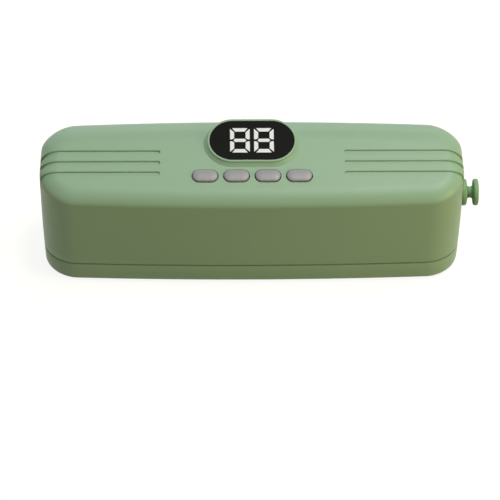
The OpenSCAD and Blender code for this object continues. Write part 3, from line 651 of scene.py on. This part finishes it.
def build_feet():
    """Round pads with a shallow dimple in the middle of each."""
    edge, dimple_r, dimple_edge, dimple_h = 0.6, 2.3, 0.4, 0.25
    flat_r, top_z = FOOT_R - edge, FOOT_H + FOOT_ROOT
    profile = [(0, dimple_h), (dimple_r, dimple_h), (dimple_r + dimple_edge, 0.0), (flat_r, 0.0)]
    profile += [(flat_r + edge * sin(a), edge - edge * cos(a)) for a in quarter(6)[1:]]
    profile += [(FOOT_R, top_z), (0, top_z)]
    pads = [place(lathe(profile, n=40), at(x, y, 0)) for x, y in FEET]
    return mesh_object("rubber_feet", gather(pads))


def screw_profile(head_h, length):
    """Pan head below z = 0 and a ridged shank above it, as (radius, height) points."""
    flat_r, edge_h = 1.5, 0.6
    edge_w = HEAD_R - flat_r
    plain, pitch, smooth, tip_r = 0.6, 1.0, 2.0, 0.7
    profile = [(0, -head_h), (flat_r, -head_h)]
    profile += [(flat_r + edge_w * sin(a), -head_h + edge_h * (1 - cos(a))) for a in quarter(6)[1:]]
    profile += [(HEAD_R, 0.0), (SCREW_R, 0.0)]
    ridges = int((length - smooth) / pitch)
    for k in range(ridges):
        profile += [(SCREW_R, plain + k * pitch), (THREAD_ROOT_R, plain + (k + 0.5) * pitch)]
    profile += [(SCREW_R, plain + ridges * pitch), (SCREW_R, length - plain), (tip_r, length), (0, length)]
    return profile


def build_screws(name, spots, z, head_h, length):
    """Pan-head screws that point up, with a cross recess in each head, no two turned alike."""
    arm, half_w, depth, turn = 1.35, 0.32, 0.55, 0.7
    z0, z1 = -head_h - 1, -head_h + depth
    parts = []
    for k, (x, y) in enumerate(spots):
        cross = [block(-arm, arm, -half_w, half_w, z0, z1), block(-half_w, half_w, -arm, arm, z0, z1)]
        screw = cut(lathe(screw_profile(head_h, length), n=32), cross)
        parts.append(place(screw, at(x, y, z) @ Matrix.Rotation(turn * k, 4, "Z")))
    return mesh_object(name, gather(parts))


# Materials


def linear(rgb):
    """sRGB values from 0 to 255 as the linear values that shaders take."""
    shares = [c / 255 for c in rgb]
    return [c / 12.92 if c <= 0.04045 else ((c + 0.055) / 1.055) ** 2.4 for c in shares]


def surface(name, rgb, rough, vary, grain=None, metal=0.0, edge=0.0, specular=None):
    """Procedural surface in object space: colour drift, uneven roughness and a fine bump.

    grain holds the bump's strength, depth and cell size, and edge is a radius drawn on sharp
    edges. Lengths are in millimetres.
    """
    drift_cell, rough_cell, rough_spread = 38.0, 6.0, 0.05
    mat = bpy.data.materials.new(name)
    mat.use_nodes = True
    nt = mat.node_tree
    bsdf = nt.nodes["Principled BSDF"]
    coords = nt.nodes.new("ShaderNodeTexCoord")

    def noise(cell, detail):
        texture = nt.nodes.new("ShaderNodeTexNoise")
        texture.inputs["Scale"].default_value = 1 / (cell * MM)
        texture.inputs["Detail"].default_value = detail
        nt.links.new(coords.outputs["Object"], texture.inputs["Vector"])
        return texture.outputs["Fac"]

    color = linear(rgb)
    tint = nt.nodes.new("ShaderNodeMix")
    tint.data_type = "RGBA"
    tint.inputs["A"].default_value = [c * (1 - vary) for c in color] + [1]
    tint.inputs["B"].default_value = [c * (1 + vary) for c in color] + [1]
    nt.links.new(noise(drift_cell, 2.0), tint.inputs["Factor"])
    nt.links.new(tint.outputs["Result"], bsdf.inputs["Base Color"])
    spread = nt.nodes.new("ShaderNodeMapRange")
    spread.inputs["To Min"].default_value = rough - rough_spread
    spread.inputs["To Max"].default_value = rough + rough_spread
    nt.links.new(noise(rough_cell, 4.0), spread.inputs["Value"])
    nt.links.new(spread.outputs["Result"], bsdf.inputs["Roughness"])
    bsdf.inputs["Metallic"].default_value = metal
    if specular is not None:
        bsdf.inputs["Specular IOR Level"].default_value = specular
    normal_to = bsdf.inputs["Normal"]
    if grain:
        strength, depth, cell = grain
        bump = nt.nodes.new("ShaderNodeBump")
        bump.inputs["Strength"].default_value = strength
        bump.inputs["Distance"].default_value = depth * MM
        nt.links.new(noise(cell, 2.0), bump.inputs["Height"])
        nt.links.new(bump.outputs["Normal"], normal_to)
        normal_to = bump.inputs["Normal"]
    if edge:
        bevel = nt.nodes.new("ShaderNodeBevel")
        bevel.samples = 4
        bevel.inputs["Radius"].default_value = edge * MM
        nt.links.new(bevel.outputs["Normal"], normal_to)
    return mat


def lit_segments():
    mat = surface("lit_segments", (226, 227, 230), rough=0.35, vary=0.02)
    bsdf = mat.node_tree.nodes["Principled BSDF"]
    bsdf.inputs["Emission Color"].default_value = (1, 1, 1, 1)
    bsdf.inputs["Emission Strength"].default_value = 0.1
    return mat


def glass_cloth():
    """Coated glass cloth: a fine over-and-under weave."""
    weave_scale, strength, depth = 320.0, 0.6, 0.08
    mat = surface("coated_cloth", (150, 108, 72), rough=0.45, vary=0.08)
    nt = mat.node_tree
    coords = nt.nodes.new("ShaderNodeTexCoord")
    both = nt.nodes.new("ShaderNodeMath")
    both.operation = "MULTIPLY"
    for k, axis in enumerate(("X", "Y")):
        wave = nt.nodes.new("ShaderNodeTexWave")
        wave.bands_direction = axis
        wave.inputs["Scale"].default_value = weave_scale
        nt.links.new(coords.outputs["Object"], wave.inputs["Vector"])
        nt.links.new(wave.outputs["Fac"], both.inputs[k])
    bump = nt.nodes.new("ShaderNodeBump")
    bump.inputs["Strength"].default_value = strength
    bump.inputs["Distance"].default_value = depth * MM
    nt.links.new(both.outputs["Value"], bump.inputs["Height"])
    nt.links.new(bump.outputs["Normal"], nt.nodes["Principled BSDF"].inputs["Normal"])
    return mat


HOUSING = surface("moulded_mint", (150, 181, 152), rough=0.46, vary=0.03, grain=(0.25, 0.04, 0.35))
DECK = surface("moulded_green", (132, 163, 135), rough=0.5, vary=0.04, grain=(0.3, 0.05, 0.4), edge=0.3)
GREY = surface("button_grey", (160, 157, 162), rough=0.42, vary=0.03, grain=(0.2, 0.03, 0.3))
SILICONE = surface("green_silicone", (124, 163, 121), rough=0.55, vary=0.05, grain=(0.25, 0.04, 0.5))
RUBBER = surface("dark_rubber", (58, 60, 60), rough=0.75, vary=0.1, grain=(0.4, 0.08, 0.5))
FOAM = surface("white_foam", (228, 228, 224), rough=0.9, vary=0.06, grain=(0.8, 0.25, 0.35))
PRESS = surface("press_silicone", (205, 96, 66), rough=0.6, vary=0.06, grain=(0.3, 0.05, 0.6))
PHENOLIC = surface("phenolic_board", (92, 60, 38), rough=0.6, vary=0.15, grain=(0.3, 0.06, 0.3))
LENS = surface("black_acrylic", (29, 29, 29), rough=0.16, vary=0.05, specular=0.05)
BOARD = surface("circuit_board", (28, 86, 48), rough=0.4, vary=0.12, grain=(0.2, 0.03, 0.8))
BLACK = surface("black_package", (32, 32, 34), rough=0.5, vary=0.1, grain=(0.3, 0.04, 0.3))
DARK_GREY = surface("dark_plastic", (62, 62, 64), rough=0.5, vary=0.08, grain=(0.3, 0.04, 0.4))
FERRITE = surface("ferrite", (54, 54, 56), rough=0.65, vary=0.12, grain=(0.4, 0.08, 0.4))
LIGHT_GREY = surface("light_plastic", (186, 186, 182), rough=0.5, vary=0.05, grain=(0.25, 0.04, 0.4))
IVORY = surface("ivory_plastic", (226, 220, 204), rough=0.45, vary=0.04, grain=(0.2, 0.04, 0.4), edge=0.2)
HOSE = surface("silicone_hose", (218, 220, 220), rough=0.45, vary=0.04, grain=(0.2, 0.04, 0.6))
CELL = surface("cell_sleeve", (58, 98, 158), rough=0.35, vary=0.06, grain=(0.15, 0.03, 0.8))
LEAD = surface("red_wire", (156, 34, 28), rough=0.5, vary=0.06, grain=(0.2, 0.04, 0.5))

# Metals
PLATED = dict(vary=0.05, grain=(0.15, 0.03, 0.25), metal=1.0, edge=0.15)
STEEL = surface("plated_steel", (190, 192, 194), rough=0.3, **PLATED)
NICKEL = surface("nickel", (188, 184, 176), rough=0.28, **PLATED)
BRASS = surface("turned_brass", (196, 158, 86), rough=0.32, vary=0.06, grain=(0.15, 0.03, 0.2),
                metal=1.0, edge=0.15)
RIBBON = surface("resistance_ribbon", (180, 180, 174), rough=0.35, vary=0.08, grain=(0.2, 0.03, 0.2),
                 metal=1.0)
ROTOR = surface("copper_windings", (150, 92, 58), rough=0.4, vary=0.2, grain=(0.5, 0.1, 0.5), metal=0.6)

SLOT_MATERIALS = {
    "housing": HOUSING, "deck": DECK, "foot_rubber": RUBBER, "screw_steel": STEEL, "gasket": FOAM,
    "press_silicone": PRESS, "heater_board": PHENOLIC, "resistance_ribbon": RIBBON, "tape": glass_cloth(),
    "brass": BRASS, "lens": LENS, "segments": lit_segments(), "module": DARK_GREY, "circuit_board": BOARD,
    "components": BLACK, "switch_body": DARK_GREY, "plunger": BLACK, "button": GREY, "motor_steel": STEEL,
    "magnet": FERRITE, "pump_plastic": BLACK, "rotor": ROTOR, "diaphragm": RUBBER,
    "valve_plastic": LIGHT_GREY, "fitting": IVORY, "hose": HOSE, "plug_silicone": SILICONE, "cell": CELL,
    "nickel": NICKEL, "lead": LEAD,
}

# Pieces on their bodies


def dress(ob, slot):
    ob.data.materials.clear()
    ob.data.materials.append(SLOT_MATERIALS[slot])


def stand_in(ob, body, slot, *nodes):
    """A dressed piece on a body, in place of CAD nodes if any are named."""
    dress(ob, slot)
    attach(ob, body)
    if nodes:
        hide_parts(*nodes)


for row in frame["record"]["subparts"]:
    dress(NODES[row["node"]], row["material_slot"])

stand_in(build_lid(), "lid", "housing", "top_shell")
stand_in(build_pod(), "lid", "housing")
stand_in(build_base(), "base", "housing", "base_shell")
for index, key in enumerate(BUTTON_NAMES):
    stand_in(build_button(f"{key}_cap", index), f"{key}_key", "button", f"{key}_button")
stand_in(build_plug(), "plug", "plug_silicone", "port_plug")
stand_in(build_gasket("foam_lower", GASKET_FLOOR_Z, SOFT_LOW_Z), "base", "gasket", "lower_gasket")
stand_in(build_gasket("foam_upper", GASKET_TOP_Z, SOFT_HIGH_Z), "lid", "gasket", "upper_gasket")
stand_in(build_press_strip(), "base", "press_silicone", "press_strip")
stand_in(build_feet(), "base", "foot_rubber", "feet")
base_fixings = build_screws("base_fixings", BASE_SCREWS, BASE_SCREW_Z, BASE_HEAD_H, BASE_SCREW_LEN)
stand_in(base_fixings, "base", "screw_steel", "base_screws")
lid_fixings = build_screws("lid_fixings", LID_SCREWS, LID_SCREW_Z, LID_HEAD_H, LID_SCREW_LEN)
stand_in(lid_fixings, "lid", "screw_steel", "lid_screws")

# Stage, light and camera; lengths here are in metres
FLOOR_HALF = 4.0
FLOOR_SHADE = (0.30, 0.26, 0.18)
FLOOR_GLOW = (0.975, 0.985, 1.0)
FLOOR_GLOW_STRENGTH = 0.89
SKY = (1.0, 0.93, 0.74)
SKY_STRENGTH = 0.15
AIM = (0, 0, 0.040)
PHOTO_PX = 500
SENSOR_MM = 36.0


def by_view(nt, out, lighting, seen):
    """One shader for what the camera and reflections see, another for the light that is cast."""
    paths = nt.nodes.new("ShaderNodeLightPath")
    direct = nt.nodes.new("ShaderNodeMath")
    direct.operation = "MAXIMUM"
    nt.links.new(paths.outputs["Is Camera Ray"], direct.inputs[0])
    nt.links.new(paths.outputs["Is Glossy Ray"], direct.inputs[1])
    mix = nt.nodes.new("ShaderNodeMixShader")
    for k, source in enumerate((direct, lighting, seen)):
        nt.links.new(source.outputs[0], mix.inputs[k])
    nt.links.new(mix.outputs[0], out.inputs["Surface"])


def floor():
    bm = bmesh.new()
    bmesh.ops.create_grid(bm, x_segments=1, y_segments=1, size=FLOOR_HALF)
    ob = linked("studio_floor", baked("studio_floor", bm))
    mat = bpy.data.materials.new("studio_white")
    mat.use_nodes = True
    nt = mat.node_tree
    nt.nodes.clear()
    shade = nt.nodes.new("ShaderNodeBsdfDiffuse")
    shade.inputs["Color"].default_value = (*FLOOR_SHADE, 1)
    glow = nt.nodes.new("ShaderNodeEmission")
    glow.inputs["Color"].default_value = (*FLOOR_GLOW, 1)
    glow.inputs["Strength"].default_value = FLOOR_GLOW_STRENGTH
    both = nt.nodes.new("ShaderNodeAddShader")
    nt.links.new(shade.outputs[0], both.inputs[0])
    nt.links.new(glow.outputs[0], both.inputs[1])
    by_view(nt, nt.nodes.new("ShaderNodeOutputMaterial"), shade, both)
    ob.data.materials.append(mat)


def world():
    studio = bpy.data.worlds.new("studio")
    bpy.context.scene.world = studio
    studio.use_nodes = True
    nt = studio.node_tree
    nt.nodes.clear()
    soft = nt.nodes.new("ShaderNodeBackground")
    soft.inputs["Color"].default_value = (*SKY, 1)
    soft.inputs["Strength"].default_value = SKY_STRENGTH
    backdrop = nt.nodes.new("ShaderNodeBackground")
    by_view(nt, nt.nodes.new("ShaderNodeOutputWorld"), soft, backdrop)


def area_light(name, spot, look, size, power, color):
    data = bpy.data.lights.new(name, "AREA")
    data.shape = "RECTANGLE"
    data.size, data.size_y = size
    data.energy = power
    data.color = color
    ob = linked(name, data)
    ob.location = spot
    ob.rotation_euler = (Vector(look) - Vector(spot)).to_track_quat("-Z", "Y").to_euler()


def camera(elevation, azimuth, roll, distance, focal_px, shift_px):
    """Pinhole camera as fitted to the photograph; angles in degrees."""
    el, az, ro = radians(elevation), radians(azimuth), radians(roll)
    ahead = Vector((-sin(az) * cos(el), cos(az) * cos(el), -sin(el)))
    level = Vector((cos(az), sin(az), 0))
    upright = level.cross(ahead)
    right = level * cos(ro) + upright * sin(ro)
    up = upright * cos(ro) - level * sin(ro)
    data = bpy.data.cameras.new("photo_camera")
    data.sensor_width = SENSOR_MM
    data.sensor_fit = "HORIZONTAL"
    data.lens = SENSOR_MM * focal_px / PHOTO_PX
    data.shift_x = -shift_px[0] / PHOTO_PX
    data.shift_y = shift_px[1] / PHOTO_PX
    ob = linked("photo_camera", data)
    turn = Matrix((right, up, -ahead)).transposed().to_4x4()
    ob.matrix_world = Matrix.Translation(Vector(AIM) - ahead * distance) @ turn
    bpy.context.scene.camera = ob


floor()
world()
area_light("key", spot=(0.58, 0.10, 2.40), look=(0, 0, 0.04), size=(1.0, 0.8),
           power=34.0, color=(0.94, 1.0, 1.0))
area_light("fill", spot=(0.62, -0.37, 0.24), look=(0.03, 0, 0.04), size=(0.30, 0.25),
           power=1.8, color=(1.0, 0.86, 0.33))
area_light("side", spot=(-0.62, -0.22, 0.20), look=(-0.06, 0, 0.04), size=(0.25, 0.25),
           power=0.22, color=(1.0, 0.80, 0.28))
area_light("rim", spot=(0.0, 1.20, 0.62), look=(0, 0, 0.05), size=(1.2, 0.4),
           power=3.0, color=(0.96, 1.0, 1.0))
camera(elevation=42.063, azimuth=-1.142, roll=0.575, distance=1.6,
       focal_px=2788.3, shift_px=(1.535, -55.961))
bpy.context.scene.view_settings.view_transform = "Standard"
